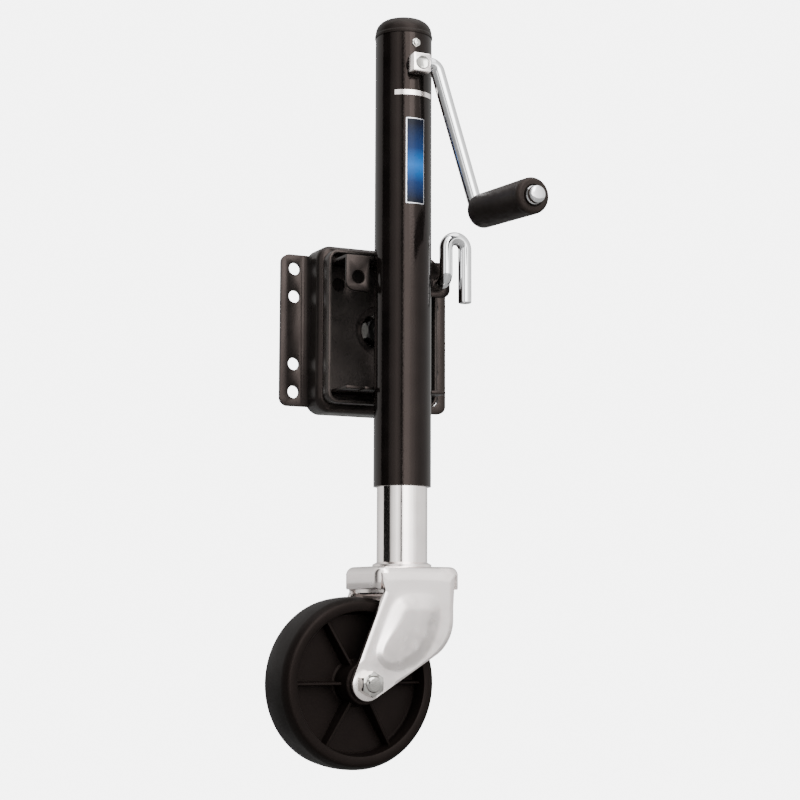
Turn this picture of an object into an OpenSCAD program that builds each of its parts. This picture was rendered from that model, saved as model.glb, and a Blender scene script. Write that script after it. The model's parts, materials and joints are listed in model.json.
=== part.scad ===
// Swivel-mount trailer tongue jack with a side-wind crank and a caster wheel.
// Units are millimetres. The origin is the centre of the frame bracket's bolt pattern, on the
// face that meets the trailer. +Z is up, -Y is outboard, +X is right for a person facing it.
// "Jack frame" below means: origin on the tube's axis at the outer tube's foot.

/* [Frame bracket] */
// Width over both bolting flanges
flange_span = 167.6; // [160:0.1:180]
// Height of the bolting flanges
flange_h = 139.5; // [130:0.1:150]
// Sheet thickness of the frame bracket
bracket_t = 4; // [3.5:0.1:4.5]
// Width of the raised pan
pan_w = 116; // [112:0.5:120]
// Height of the raised pan
pan_h = 152.7; // [145:0.1:158]
// Distance from the back face to the front of the pan
pan_depth = 29.3; // [27:0.1:31]
// Distance between the two columns of bolt holes
bolt_span = 141.4; // [138:0.1:144]
// Height between the outer bolt holes
bolt_outer = 113.3; // [108:0.1:118]
// Height between the inner bolt holes
bolt_inner = 62; // [55:0.1:70]
// Bolt hole diameter
bolt_hole_d = 11.4; // [10:0.1:12]

/* [Swivel bracket] */
// Width of the tray
tray_w = 109.2; // [104:0.1:110]
// Height of the tray
tray_h = 139; // [130:0.5:144]
// Depth of the tray's walls
tray_depth = 15.5; // [12:0.1:18]
// Sheet thickness of the swivel bracket
tray_t = 3; // [2.5:0.1:3.5]
// Radius of the round pivot dimple, inside
dimple_r = 22.2; // [20:0.1:24]
// How far the pivot dimple is pressed towards the trailer
dimple_depth = 6; // [4:0.1:7]
// Diameter of the pivot bolt
pivot_d = 16; // [14:0.1:18]
// Distance from the pivot to each pin hole, across and up
pin_offset = 39.6; // [38:0.1:41]

/* [Tubes] */
// Distance from the bracket's back face to the tube's axis
standoff = 84.3; // [82:0.1:86]
// Height of the bracket's centre above the outer tube's foot
bracket_rise = 145.8; // [140:0.1:150]
// Outer tube diameter
tube_d = 50.8; // [50.8:0.1:51.2]
// Outer tube wall
tube_wall = 3.1; // [3.1:0.01:3.12]
// Outer tube length
tube_h = 404.7; // [400:0.1:410]
// Inner tube diameter
leg_d = 44.45; // [44.43:0.01:44.5]
// Inner tube wall
leg_wall = 2.4; // [2:0.1:3]
// Height of the inner tube's top end as the jack stands
leg_top = 270; // [266:1:272]
// Depth of the inner tube's bottom end below the outer tube's foot
leg_drop = 66; // [65.5:0.1:68]

/* [Crank and screw] */
// Height of the crank's axis
crank_z = 373.5; // [372:0.1:375]
// Crank shaft diameter
shaft_d = 12; // [11:0.1:12]
// Crank rod diameter
crank_rod_d = 12.7; // [11.6:0.1:12.7]
// Distance of the crank arm's root in front of the tube's axis
arm_y = 34; // [34:0.1:36]
// Sideways reach of the crank arm at the grip
grip_x = 53.8; // [50:0.1:56]
// Depth of the grip below the crank's axis
grip_drop = 130.6; // [125:0.1:135]
// Droop of the grip's axis below level
grip_droop = 3; // [0:0.5:5]
// Length of the grip
grip_h = 91; // [85:1:100]
// Teeth on the crank's bevel pinion
pinion_teeth = 12; // [12:1:12]
// Teeth on the screw's bevel gear
gear_teeth = 18; // [18:1:18]
// Bevel gear module, pitch diameter per tooth
gear_module = 1.8333; // [1.8:0.0001:1.84]
// Screw diameter
screw_d = 19; // [18:0.1:20]
// Screw lead per turn, left-handed so that clockwise cranking runs the leg out
screw_lead = 6.35; // [6:0.01:6.5]

/* [Caster] */
// Wheel diameter
wheel_d = 146; // [142:0.1:150]
// Wheel width
wheel_w = 45.7; // [42:0.1:46]
// Radius of the fork's round crown
crown_r = 48; // [46:0.1:49]
// Height of the fork's crown skirt
crown_h = 17.5; // [15:0.1:18]
// Trail, from the swivel axis to the axle
trail = 51; // [48:0.1:54]
// Depth of the axle below the outer tube's foot
axle_drop = 169; // [168:0.1:171]
// Turn of the caster about the tube
caster_turn = 4; // [0:1:30]
// Inside distance between the fork's legs
fork_gap = 58; // [57.8:0.1:60]
// Axle bolt diameter
axle_d = 12.7; // [12:0.1:13]

/* [Pull pin] */
// Pull pin rod diameter
pin_d = 12; // [11.8:0.1:12]
// Distance of the handle's upright in front of the tube's axis
handle_y = 7; // [6:0.1:8]
// Height of the handle's top centre line above the outer tube's foot
handle_top = 225; // [220:0.5:230]
// Height where the handle's hook ends
handle_foot = 167; // [160:0.5:175]
// Distance between the handle's upright and its hook
handle_gap = 19; // [18:0.1:21]

/* [Hidden] */
$fn = 96;
run = 0.06;                        // radial clearance of a running fit
eps = 0.02;                        // overshoot of a cutting shape
bend_mark = 0.05;
bracket_corner_r = 8;
pan_corner_r = 14;
pan_edge_r = 7;
flange_fillet_r = 6;
dimple_gap = 0.3;
tray_gap = 0.5;
tray_edge_r = 5;
tray_corner_r = 10;
tray_back = -pan_depth - tray_gap;
tray_floor = tray_back - tray_t;
dimple_back = tray_back + dimple_depth;
dimple_floor = dimple_back - tray_t;
recess_floor = dimple_back + tray_gap;
recess_r = dimple_r + tray_t + dimple_gap;
washer_t = 2.4;
washer_r = 15;
nut_h = 10;
pivot_head_front = dimple_floor - washer_t - 8.4;
pivot_end = -1.5;
shelf_top = 59.2;                  // above the bracket's centre
shelf_front = standoff - 8;        // distance of the lugs' front face from the bracket's back
lug_in = 28.9;
lug_out = 51.4;
lug_foot = 27.4;
lower_shelf_z = -57;
tube_r = tube_d / 2;
bore_r = tube_r - tube_wall;
leg_r = leg_d / 2;
leg_bore_r = leg_r - leg_wall;
shaft_r = shaft_d / 2;
rod_r = crank_rod_d / 2;
cap_h = 16.3;
cap_edge_r = 12;
hub_w = 17;
hub_back = 27.5;
hub_front = 38.5;
bushing_r = 9;
pinion_r = gear_module * pinion_teeth / 2;
gear_r = gear_module * gear_teeth / 2;
gear_slope = pinion_r / gear_r;
bevel_inner = 0.65;                // share of the pitch cone where the teeth end
plate_top = crank_z - 22.2;
plate_bottom = plate_top - 4.4;
journal_r = 7;
gear_foot = plate_top + 2.3;
pinion_pin_r = 1.2;
race_t = 2.3;
ball_r = 2.7;
race_r = 19;
collar_top = plate_bottom - 2 * race_t - 2 * ball_r - 0.4;
collar_h = 6;
screw_foot = 46;
grip_in_r = 15.2;
grip_out_r = 15.7;
grip_start = 8;                    // from the rod's bend, along the grip's axis
grip_end = grip_start + grip_h;
// Where the arm's centre line meets the grip's, the arm leans outward down to it
grip_corner = [grip_x, -arm_y - 7, crank_z - grip_drop];
grip_axis = [0, -cos(grip_droop), -sin(grip_droop)];
crown_top = -leg_drop - 4;
leg_t = 4;
axle_pad_r = 14.5;
hub_half = fork_gap / 2 - 1;
rim_in_r = 60.5;
tread_edge_r = 5;
web_t = 12;
race_z = crown_top - 4 - 6;        // top face of the caster's lower race
caster_ball_r = 2.95;
caster_ball_ring = 20;
pin_r = pin_d / 2;
pin_z = bracket_rise + pin_offset;
pin_tip = standoff - pan_depth - tray_gap - 0.3;
spring_front = -11.1;
spring_len = 24;

// ---- helpers ----

// Children move from the jack frame to the origin's frame
module at_tube() translate([0, -standoff, -bracket_rise]) children();

// Children move from the caster's own frame, which trails to -X, to the jack frame
module at_caster() at_tube() rotate([0, 0, caster_turn]) children();

module at_axle() at_caster() translate([-trail, 0, -axle_drop]) rotate([90, 0, 0]) children();

module at_crank() at_tube() translate([0, 0, crank_z]) rotate([90, 0, 0]) children();

// Children extruded along +Z point outboard, with their own Y up
module outboard(y) translate([0, y, 0]) rotate([90, 0, 0]) children();

module ring(ro, ri, z0, z1) difference() {
    translate([0, 0, z0]) cylinder(r = ro, h = z1 - z0);
    translate([0, 0, z0 - 1]) cylinder(r = ri, h = z1 - z0 + 2);
}

module disc(r, z0, z1) translate([0, 0, z0]) cylinder(r = r, h = z1 - z0);

// Six-sided prism, af across its flats
module hex(af, z0, z1) translate([0, 0, z0]) cylinder(r = af / sqrt(3), h = z1 - z0, $fn = 6);

module rounded_rect(w, h, r) {
    square([w - 2 * r, h], center = true);
    square([w, h - 2 * r], center = true);
    for (x = [-1, 1], y = [-1, 1]) translate([x * (w / 2 - r), y * (h / 2 - r)]) circle(r);
}

// Drawn box, closed at +Z: round corners, and a rounded edge round its closed end
module drawn_box(w, h, depth, corner, edge) {
    linear_extrude(depth - edge) rounded_rect(w, h, corner);
    linear_extrude(depth) rounded_rect(w - 2 * edge, h - 2 * edge, corner - edge);
    translate([0, 0, depth - edge]) {
        for (y = [-1, 1]) translate([-w / 2 + corner, y * (h / 2 - edge), 0])
            rotate([0, 90, 0]) cylinder(r = edge, h = w - 2 * corner);
        for (x = [-1, 1]) translate([x * (w / 2 - edge), h / 2 - corner, 0])
            rotate([90, 0, 0]) cylinder(r = edge, h = h - 2 * corner);
        for (x = [-1, 1], y = [-1, 1])
            translate([x * (w / 2 - corner), y * (h / 2 - corner), 0])
                rotate_extrude() rounded_edge(corner, edge);
    }
}

// Half profile of a disc of radius r whose upper edge is rounded
module rounded_edge(r, edge) {
    square([r - edge, edge]);
    intersection() {
        translate([r - edge, 0]) circle(edge);
        translate([r - edge, 0]) square(edge);
    }
}

function unit(v) = v / norm(v);
function tangent(a, b, c, bend) =
    bend / tan(acos(unit(a - b) * unit(c - b)) / 2);

module along(a, b) {
    d = b - a;
    pitch = acos(d.z / norm(d));
    yaw = atan2(d.y, d.x);
    translate(a) rotate([0, pitch, yaw]) children();
}

// Round rod through a list of points, with a true round bend at each inner point, and the
// faint mark that the bending tool leaves at both ends of a bend
module bent_rod(points, bends, r) {
    last = len(points) - 1;
    cut = [for (i = [0:last]) (i == 0 || i == last) ? 0
        : tangent(points[i - 1], points[i], points[i + 1], bends[i - 1])];
    for (i = [1:last]) {
        d = unit(points[i] - points[i - 1]);
        a = points[i - 1] + d * cut[i - 1];
        b = points[i] - d * cut[i];
        if (norm(b - a) > 0.01) along(a, b) cylinder(r = r, h = norm(b - a));
    }
    for (i = [1:last - 1]) {
        u = unit(points[i - 1] - points[i]);
        v = unit(points[i + 1] - points[i]);
        bend = bends[i - 1];
        angle = acos(u * v);
        centre = points[i] + unit(u + v) * bend / sin(angle / 2);
        x = unit(points[i] + u * cut[i] - centre);
        z = unit(cross(v, u));
        y = cross(z, x);
        multmatrix([[x.x, y.x, z.x, centre.x], [x.y, y.y, z.y, centre.y],
                    [x.z, y.z, z.z, centre.z], [0, 0, 0, 1]])
            rotate_extrude(angle = 180 - angle) translate([bend, 0]) circle(r);
        for (w = [u, v]) translate(points[i] + w * cut[i]) along([0, 0, 0], w)
            cylinder(r = r + bend_mark, h = 0.5, center = true);
    }
}

// ---- frame bracket and pivot ----

module bolt_holes() for (x = [-1, 1], z = [-1, 1], h = [bolt_outer, bolt_inner])
    translate([x * bolt_span / 2, z * h / 2, -1]) cylinder(d = bolt_hole_d, h = bracket_t + 2);

module pin_holes(xs, zs, z0, z1) for (x = xs, z = zs)
    translate([x * pin_offset, z * pin_offset, z0]) cylinder(r = pin_r + 0.1, h = z1 - z0);

module flange_fillets() for (x = [-1, 1]) difference() {
    translate([x * (pan_w / 2 + flange_fillet_r / 2), 0, bracket_t + flange_fillet_r / 2])
        cube([flange_fillet_r, flange_h - 2, flange_fillet_r], center = true);
    translate([x * (pan_w / 2 + flange_fillet_r), flange_h, bracket_t + flange_fillet_r])
        rotate([90, 0, 0]) cylinder(r = flange_fillet_r, h = 2 * flange_h);
}

module frame_bracket() color([0.09, 0.09, 0.10]) outboard(0) difference() {
    union() {
        linear_extrude(bracket_t) rounded_rect(flange_span, flange_h, bracket_corner_r);
        drawn_box(pan_w, pan_h, pan_depth, pan_corner_r, pan_edge_r);
        flange_fillets();
        disc(recess_r + bracket_t, -recess_floor - bracket_t, pan_depth - eps);
    }
    difference() {
        translate([0, 0, -1])
            drawn_box(pan_w - 2 * bracket_t, pan_h - 2 * bracket_t, pan_depth - bracket_t + 1,
                pan_corner_r - bracket_t, pan_edge_r - bracket_t);
        disc(recess_r + bracket_t, -recess_floor - bracket_t, pan_depth);
    }
    disc(recess_r, -recess_floor, pan_depth + 1);
    disc(pivot_d / 2 + eps, -1, pan_depth + 1);
    bolt_holes();
    pin_holes([1], [-1, 1], -1, pan_depth + 1);
}

module pivot_bolt() color([0.30, 0.30, 0.32]) outboard(0) {
    disc(pivot_d / 2, -pivot_end, -dimple_floor + washer_t + 0.2);
    hex(24, -dimple_floor + washer_t + 0.1, -pivot_head_front);
}

module pivot_washer_front() color([0.75, 0.76, 0.77]) outboard(0)
    ring(washer_r, pivot_d / 2 + eps, -dimple_floor + 0.1, -dimple_floor + washer_t + 0.1);

module pivot_washer_rear() color([0.75, 0.76, 0.77]) outboard(0)
    ring(washer_r, pivot_d / 2 + eps, -recess_floor - bracket_t - washer_t, -recess_floor - bracket_t);

module pivot_nut() color([0.75, 0.76, 0.77]) outboard(0) difference() {
    hex(24, -recess_floor - bracket_t - washer_t - nut_h, -recess_floor - bracket_t - washer_t);
    disc(pivot_d / 2 + eps, 0, pan_depth);
}

// ---- swivel bracket ----

module swivel_tray() color([0.10, 0.10, 0.11]) outboard(tray_back) difference() {
    union() {
        translate([0, 0, tray_depth]) rotate([180, 0, 0])
            drawn_box(tray_w, tray_h, tray_depth, tray_corner_r, tray_edge_r);
        disc(dimple_r + tray_t, -dimple_depth, tray_t);
    }
    translate([0, 0, tray_depth + 1]) rotate([180, 0, 0])
        drawn_box(tray_w - 2 * tray_t, tray_h - 2 * tray_t, tray_depth - tray_t + 1,
            tray_corner_r - tray_t, tray_edge_r - tray_t);
    disc(dimple_r, -dimple_depth + tray_t, tray_depth);
    disc(pivot_d / 2 + run, -dimple_depth - 1, tray_depth);
    pin_holes([-1, 1], [1], -1, tray_t + 1);
}

// Horizontal plate that reaches from the tray's floor forward to the tube, z0 is its top
module tube_shelf(z0, half_w, front) difference() {
    translate([-half_w, -front, z0 - tray_t]) cube([2 * half_w, front + tray_floor, tray_t]);
    translate([0, -standoff, z0 - tray_t - 1]) cylinder(r = tube_r, h = tray_t + 2);
}

// Plate with a pin hole that hangs from the shelf's front edge; side is -1 or 1
module lug(side) outboard(-shelf_front + tray_t) difference() {
    union() {
        translate([side > 0 ? lug_in : -lug_out, lug_foot + 8])
            cube([lug_out - lug_in, shelf_top - lug_foot - 8, tray_t]);
        translate([side > 0 ? lug_in : -lug_out + 8, lug_foot])
            cube([lug_out - lug_in - 8, 9, tray_t]);
        translate([side * (lug_out - 8), lug_foot + 8]) cylinder(r = 8, h = tray_t);
    }
    translate([side * pin_offset, pin_offset, -1]) cylinder(r = pin_r + 0.1, h = tray_t + 2);
}

module pin_shelf() color([0.16, 0.16, 0.17]) {
    tube_shelf(shelf_top, lug_out, shelf_front);
    for (side = [-1, 1]) lug(side);
}

module lower_shelf() color([0.16, 0.16, 0.17]) difference() {
    tube_shelf(lower_shelf_z, 49, standoff - 12);
    for (x = [-33, 33]) translate([x, -standoff + 12, lower_shelf_z])
        cube([4, 30, 2 * tray_t + 1], center = true);
}

// ---- outer tube and what is on it ----

module outer_tube() color([0.05, 0.05, 0.06]) at_tube() difference() {
    ring(tube_r, bore_r, 0, tube_h);
    translate([0, 0, crank_z]) rotate([90, 0, 0])
        cylinder(r = bushing_r, h = tube_d + 2, center = true);
    bearing_slot(0);
    translate([0, 0, tube_h - 9.7]) rotate([90, 0, 0]) cylinder(r = 3.2, h = tube_d);
}

// Wedge of the tube's front that the bearing plate's tab fills
module bearing_slot(clear) translate([0, 0, plate_bottom - clear]) linear_extrude(plate_top - plate_bottom)
    polygon([[0, 0], [-40 * sin(43), -40 * cos(43)], [0, -60], [40 * sin(43), -40 * cos(43)]]);

module bearing_plate() color([0.80, 0.80, 0.80]) at_tube() difference() {
    union() {
        disc(bore_r, plate_bottom, plate_top);
        intersection() {
            disc(tube_r + 0.6, plate_bottom, plate_top);
            bearing_slot(0);
        }
    }
    disc(journal_r + run, plate_bottom - 1, plate_top + 1);
}

module top_cap() color([0.07, 0.07, 0.07]) at_tube() translate([0, 0, tube_h]) {
    difference() {
        disc(bore_r, -5, 0);
        disc(bore_r - 3, -6, -eps);
    }
    rotate_extrude() {
        square([tube_r + 0.6, 3]);
        square([tube_r, cap_h - cap_edge_r]);
        square([tube_r - cap_edge_r, cap_h]);
        intersection() {
            translate([tube_r - cap_edge_r, cap_h - cap_edge_r]) circle(cap_edge_r);
            square([tube_r, cap_h + 1]);
        }
    }
}

module grease_fitting() color([0.80, 0.78, 0.70]) at_tube() translate([0, 0, tube_h - 9.7])
    rotate([90, 0, 0]) {
        disc(3.15, bore_r, tube_r);
        hex(8, tube_r - 0.3, tube_r + 1.1);
        disc(2.2, tube_r + 1.1, tube_r + 1.8);
        disc(2.9, tube_r + 1.7, tube_r + 2.5);
    }

module label() color([0.10, 0.25, 0.60]) at_tube() difference() {
    intersection() {
        disc(tube_r + 0.3, 248.7, 326.1);
        translate([-9, -tube_r - 2, 240]) cube([18, tube_r, 100]);
    }
    disc(tube_r, 240, 340);
}

module shaft_bushing(near, far) color([0.72, 0.55, 0.30]) at_crank()
    ring(bushing_r, shaft_r + run, near, far);

module shaft_bushing_front() shaft_bushing(20.3, tube_r + 0.6);

module shaft_bushing_rear() shaft_bushing(-tube_r - 0.4, -20.3);

// ---- crank ----

module crank_shaft() color([0.70, 0.70, 0.71]) at_crank() difference() {
    disc(shaft_r, -tube_r - 4, hub_front - 1);
    translate([-20, 0, 18.2]) rotate([0, 90, 0]) cylinder(r = pinion_pin_r, h = 40);
}

module shaft_clip() color([0.35, 0.35, 0.36]) at_crank()
    ring(shaft_r + 3.5, shaft_r, -tube_r - 1.9, -tube_r - 0.7);

// Bevel blank: its teeth stand inside this cone
module pinion() color([0.62, 0.62, 0.63]) at_crank() difference() {
    union() {
        translate([0, 0, gear_r * bevel_inner]) cylinder(h = gear_r * (1 - bevel_inner),
            r1 = pinion_r * bevel_inner - 0.2, r2 = pinion_r - 0.2);
        disc(8, gear_r - 1, 20);
    }
    disc(shaft_r, 0, 30);
    translate([-20, 0, 18.2]) rotate([0, 90, 0]) cylinder(r = pinion_pin_r, h = 40);
}

module pinion_pin() color([0.30, 0.30, 0.32]) at_crank()
    translate([-7.6, 0, 18.2]) rotate([0, 90, 0]) cylinder(r = pinion_pin_r, h = 15.2);

module crank_hub() color([0.84, 0.83, 0.80]) at_crank() difference() {
    translate([0, 0, hub_back]) linear_extrude(hub_front - hub_back) rounded_rect(hub_w, hub_w, 1.2);
    disc(shaft_r, hub_back - 1, hub_front + 1);
}

module crank_arm() color([0.86, 0.86, 0.87]) at_tube()
    bent_rod([[hub_w / 2, -arm_y, crank_z], [hub_w / 2 + 7, -arm_y, crank_z], grip_corner,
        grip_corner + (grip_end + 5) * grip_axis], [8, 8], rod_r);

module at_grip() at_tube() translate(grip_corner) rotate([90 + grip_droop, 0, 0]) children();

module crank_grip() color([0.07, 0.07, 0.07]) at_grip() difference() {
    union() {
        translate([0, 0, grip_start]) cylinder(r1 = grip_in_r - 1.5, r2 = grip_in_r, h = 2.1);
        translate([0, 0, grip_start + 2]) cylinder(r1 = grip_in_r, r2 = grip_out_r, h = grip_h - 6.5);
        translate([0, 0, grip_end - 4.6]) cylinder(r1 = grip_out_r, r2 = grip_out_r - 3, h = 4.6);
    }
    disc(rod_r + run, 0, 2 * grip_h);
}

module grip_cap() color([0.85, 0.85, 0.86]) at_grip() difference() {
    union() {
        disc(8.2, grip_end + 0.4, grip_end + 2);
        disc(7.4, grip_end + 1.9, grip_end + 8);
    }
    disc(rod_r, grip_end - 1, grip_end + 5);
}

// ---- screw and its bearing ----

// Bevel blank: its teeth stand inside this cone
module driven_gear() color([0.62, 0.62, 0.63]) at_tube() difference() {
    translate([0, 0, crank_z]) rotate_extrude() polygon([
        [journal_r, -8.6], [gear_r * bevel_inner - 0.6, -8.6],
        [gear_r * bevel_inner, -pinion_r * bevel_inner - 0.4], [gear_r, -pinion_r - 0.4],
        [gear_r, -pinion_r - 3], [11, -17], [9.5, gear_foot - crank_z],
        [journal_r, gear_foot - crank_z]]);
    translate([-20, 0, crank_z - 16.2]) rotate([0, 90, 0]) cylinder(r = 2, h = 40);
}

module gear_pin() color([0.30, 0.30, 0.32]) at_tube()
    translate([-10.5, 0, crank_z - 16.2]) rotate([0, 90, 0]) cylinder(r = 2, h = 21);

module lift_screw() color([0.66, 0.66, 0.67]) at_tube() difference() {
    union() {
        disc(screw_d / 2, screw_foot + 2, collar_top);
        translate([0, 0, screw_foot]) cylinder(r1 = screw_d / 2 - 2, r2 = screw_d / 2, h = 2);
        disc(14, collar_top - collar_h, collar_top);
        disc(journal_r, collar_top, crank_z - 8.6);
    }
    translate([-20, 0, crank_z - 16.2]) rotate([0, 90, 0]) cylinder(r = 2, h = 40);
}

module bearing_races() color([0.55, 0.55, 0.57]) at_tube() {
    ring(race_r, journal_r + run, collar_top + 0.05, collar_top + 0.05 + race_t);
    ring(race_r, journal_r + run, plate_bottom - 0.05 - race_t, plate_bottom - 0.05);
}

module bearing_balls() color([0.80, 0.80, 0.82]) at_tube() for (i = [0:11])
    rotate([0, 0, i * 30]) translate([13.5, 0, (collar_top + plate_bottom) / 2]) sphere(ball_r);

module thrust_washer() color([0.72, 0.55, 0.30]) at_tube()
    ring(12, journal_r + run, plate_top + 0.1, gear_foot - 0.1);

// ---- inner tube ----

module inner_tube() color([0.82, 0.81, 0.79]) at_tube()
    ring(leg_r, leg_bore_r, -leg_drop, leg_top);

module leg_collar() color([0.80, 0.79, 0.77]) at_tube() difference() {
    union() {
        disc(tube_r + 0.4, crown_top + 0.1, crown_top + 2);
        translate([0, 0, crown_top + 2]) cylinder(r1 = tube_r + 0.4, r2 = leg_r, h = 2);
    }
    disc(leg_r, -leg_drop, 0);
    disc(screw_d / 2, crown_top - 1, 0);
}

module leg_plug() color([0.60, 0.60, 0.61]) at_tube()
    ring(leg_bore_r, screw_d / 2, -leg_drop, -leg_drop + 20);

module screw_nut() color([0.72, 0.55, 0.30]) at_tube()
    ring(leg_bore_r, screw_d / 2 + run, leg_top - 30, leg_top - 8);

module kingpin() color([0.70, 0.70, 0.71]) at_tube() {
    disc(screw_d / 2, race_z - 15, -leg_drop + 20);
    disc(14, -leg_drop + 20, -leg_drop + 26);
}

module kingpin_race() color([0.55, 0.55, 0.57]) at_tube()
    ring(26, screw_d / 2, race_z - 3, race_z);

module kingpin_nut() color([0.75, 0.76, 0.77]) at_tube() difference() {
    hex(28, race_z - 13, race_z - 3);
    disc(screw_d / 2, race_z - 14, race_z);
}

// ---- caster ----

module caster_balls() color([0.80, 0.80, 0.82]) at_caster() for (i = [0:15])
    rotate([0, 0, i * 22.5]) translate([caster_ball_ring, 0, race_z + 3]) sphere(caster_ball_r);

// Side view of one fork leg, in the caster's own frame
module leg_outline() {
    translate([-trail, -axle_drop]) circle(axle_pad_r);
    translate([-3, -115]) circle(36);
    polygon([[-38, crown_top - 2], [-34.5, -91], [-trail - 13.3, -axle_drop + 5.7],
        [-trail, -axle_drop], [-trail + 8.1, -axle_drop - 12], [17.1, -144.8], [33, -115],
        [34, -87], [35.5, crown_top - 2]]);
}

// Pressed crown, round at its ends and cut flat where it folds down into the legs
module crown(r, half_w, h, edge) intersection() {
    drawn_crown(r, h, edge);
    translate([-r, -half_w, -1]) cube([2 * r, 2 * half_w, h + 2]);
}

module fork() color([0.83, 0.82, 0.80]) at_caster() difference() {
    union() {
        translate([0, 0, crown_top - crown_h]) difference() {
            crown(crown_r, fork_gap / 2 + leg_t, crown_h, 5);
            translate([0, 0, -1]) crown(crown_r - leg_t, fork_gap / 2, crown_h - leg_t + 1, 1.5);
        }
        for (side = [-1, 1]) translate([0, side * (fork_gap / 2 + leg_t / 2) + leg_t / 2, 0])
            rotate([90, 0, 0]) linear_extrude(leg_t) leg_outline();
    }
    disc(screw_d / 2 + run, crown_top - 10, crown_top + 1);
    translate([-trail, 50, -axle_drop]) rotate([90, 0, 0]) cylinder(r = axle_d / 2, h = 100);
}

// Round crown with a rounded top edge
module drawn_crown(r, h, edge) {
    cylinder(r = r, h = h - edge);
    cylinder(r = r - edge, h = h);
    translate([0, 0, h - edge]) rotate_extrude() rounded_edge(r, edge);
}

module axle_bolt() color([0.78, 0.78, 0.78]) at_axle() {
    disc(axle_d / 2, -fork_gap / 2 - leg_t, fork_gap / 2 + leg_t + 13);
    hex(19, -fork_gap / 2 - leg_t - 7.5, -fork_gap / 2 - leg_t);
}

module axle_nut() color([0.80, 0.80, 0.79]) at_axle() difference() {
    hex(19, fork_gap / 2 + leg_t, fork_gap / 2 + leg_t + 10);
    disc(axle_d / 2, 0, 60);
}

module axle_washers() color([0.80, 0.80, 0.79]) at_axle() for (side = [0, 180])
    rotate([side, 0, 0]) ring(13, axle_d / 2 + 0.02, hub_half + 0.1, fork_gap / 2);

module wheel() color([0.06, 0.06, 0.06]) at_axle() {
    rotate_extrude() {
        translate([rim_in_r, -wheel_w / 2 + tread_edge_r])
            square([wheel_d / 2 - rim_in_r, wheel_w - 2 * tread_edge_r]);
        translate([rim_in_r, -wheel_w / 2]) square([wheel_d / 2 - rim_in_r - tread_edge_r, wheel_w]);
        for (s = [-1, 1])
            translate([wheel_d / 2 - tread_edge_r, s * (wheel_w / 2 - tread_edge_r)])
                circle(tread_edge_r);
        translate([17, -web_t / 2]) square([rim_in_r - 16, web_t]);
        translate([8, -hub_half]) square([10, 2 * hub_half]);
    }
    for (i = [0:5]) rotate([0, 0, i * 60]) translate([16, -1.6, -wheel_w / 2 + 4])
        cube([rim_in_r - 15, 3.2, wheel_w - 8]);
}

module wheel_sleeve() color([0.70, 0.70, 0.71]) at_axle()
    ring(8, axle_d / 2 + run, -hub_half, hub_half);

// ---- pull pin ----

module pull_pin() color([0.86, 0.86, 0.87]) at_tube() difference() {
    bent_rod([[pin_offset, pin_tip, pin_z], [pin_offset, -handle_y, pin_z],
        [pin_offset, -handle_y, handle_top], [pin_offset + handle_gap, -handle_y, handle_top],
        [pin_offset + handle_gap, -handle_y, handle_foot]],
        [8, handle_gap / 2, handle_gap / 2], pin_r);
    translate([pin_offset, -spring_front + spring_len + 3.4, pin_z - 20]) cylinder(r = 1.5, h = 40);
}

module at_pin() at_tube() translate([pin_offset, 0, pin_z]) rotate([90, 0, 0]) children();

module pin_washer() color([0.80, 0.80, 0.79]) at_pin()
    ring(10, pin_r, spring_front - spring_len - 1.8, spring_front - spring_len - 0.2);

module pin_cotter() color([0.75, 0.75, 0.76]) at_tube()
    translate([pin_offset, -spring_front + spring_len + 3.4, pin_z - 10]) cylinder(r = 1.5, h = 20);

// Closed sleeve of the coil spring's outer shape
module pin_spring() color([0.60, 0.60, 0.62]) at_pin()
    ring(8.8, 7, spring_front - spring_len, spring_front);

// ---- drawing ----

frame_bracket();
pivot_bolt();
pivot_washer_front();
pivot_washer_rear();
pivot_nut();
swivel_tray();
pin_shelf();
lower_shelf();
outer_tube();
top_cap();
grease_fitting();
label();
bearing_plate();
shaft_bushing_front();
shaft_bushing_rear();
crank_shaft();
shaft_clip();
pinion();
pinion_pin();
crank_hub();
crank_arm();
crank_grip();
grip_cap();
driven_gear();
gear_pin();
lift_screw();
bearing_races();
bearing_balls();
thrust_washer();
inner_tube();
leg_collar();
leg_plug();
screw_nut();
kingpin();
kingpin_race();
kingpin_nut();
caster_balls();
fork();
axle_bolt();
axle_nut();
axle_washers();
wheel();
wheel_sleeve();
pull_pin();
pin_washer();
pin_cotter();
pin_spring();
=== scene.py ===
import json
import math

import bmesh
import bpy
from mathutils import Matrix, Vector


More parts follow.
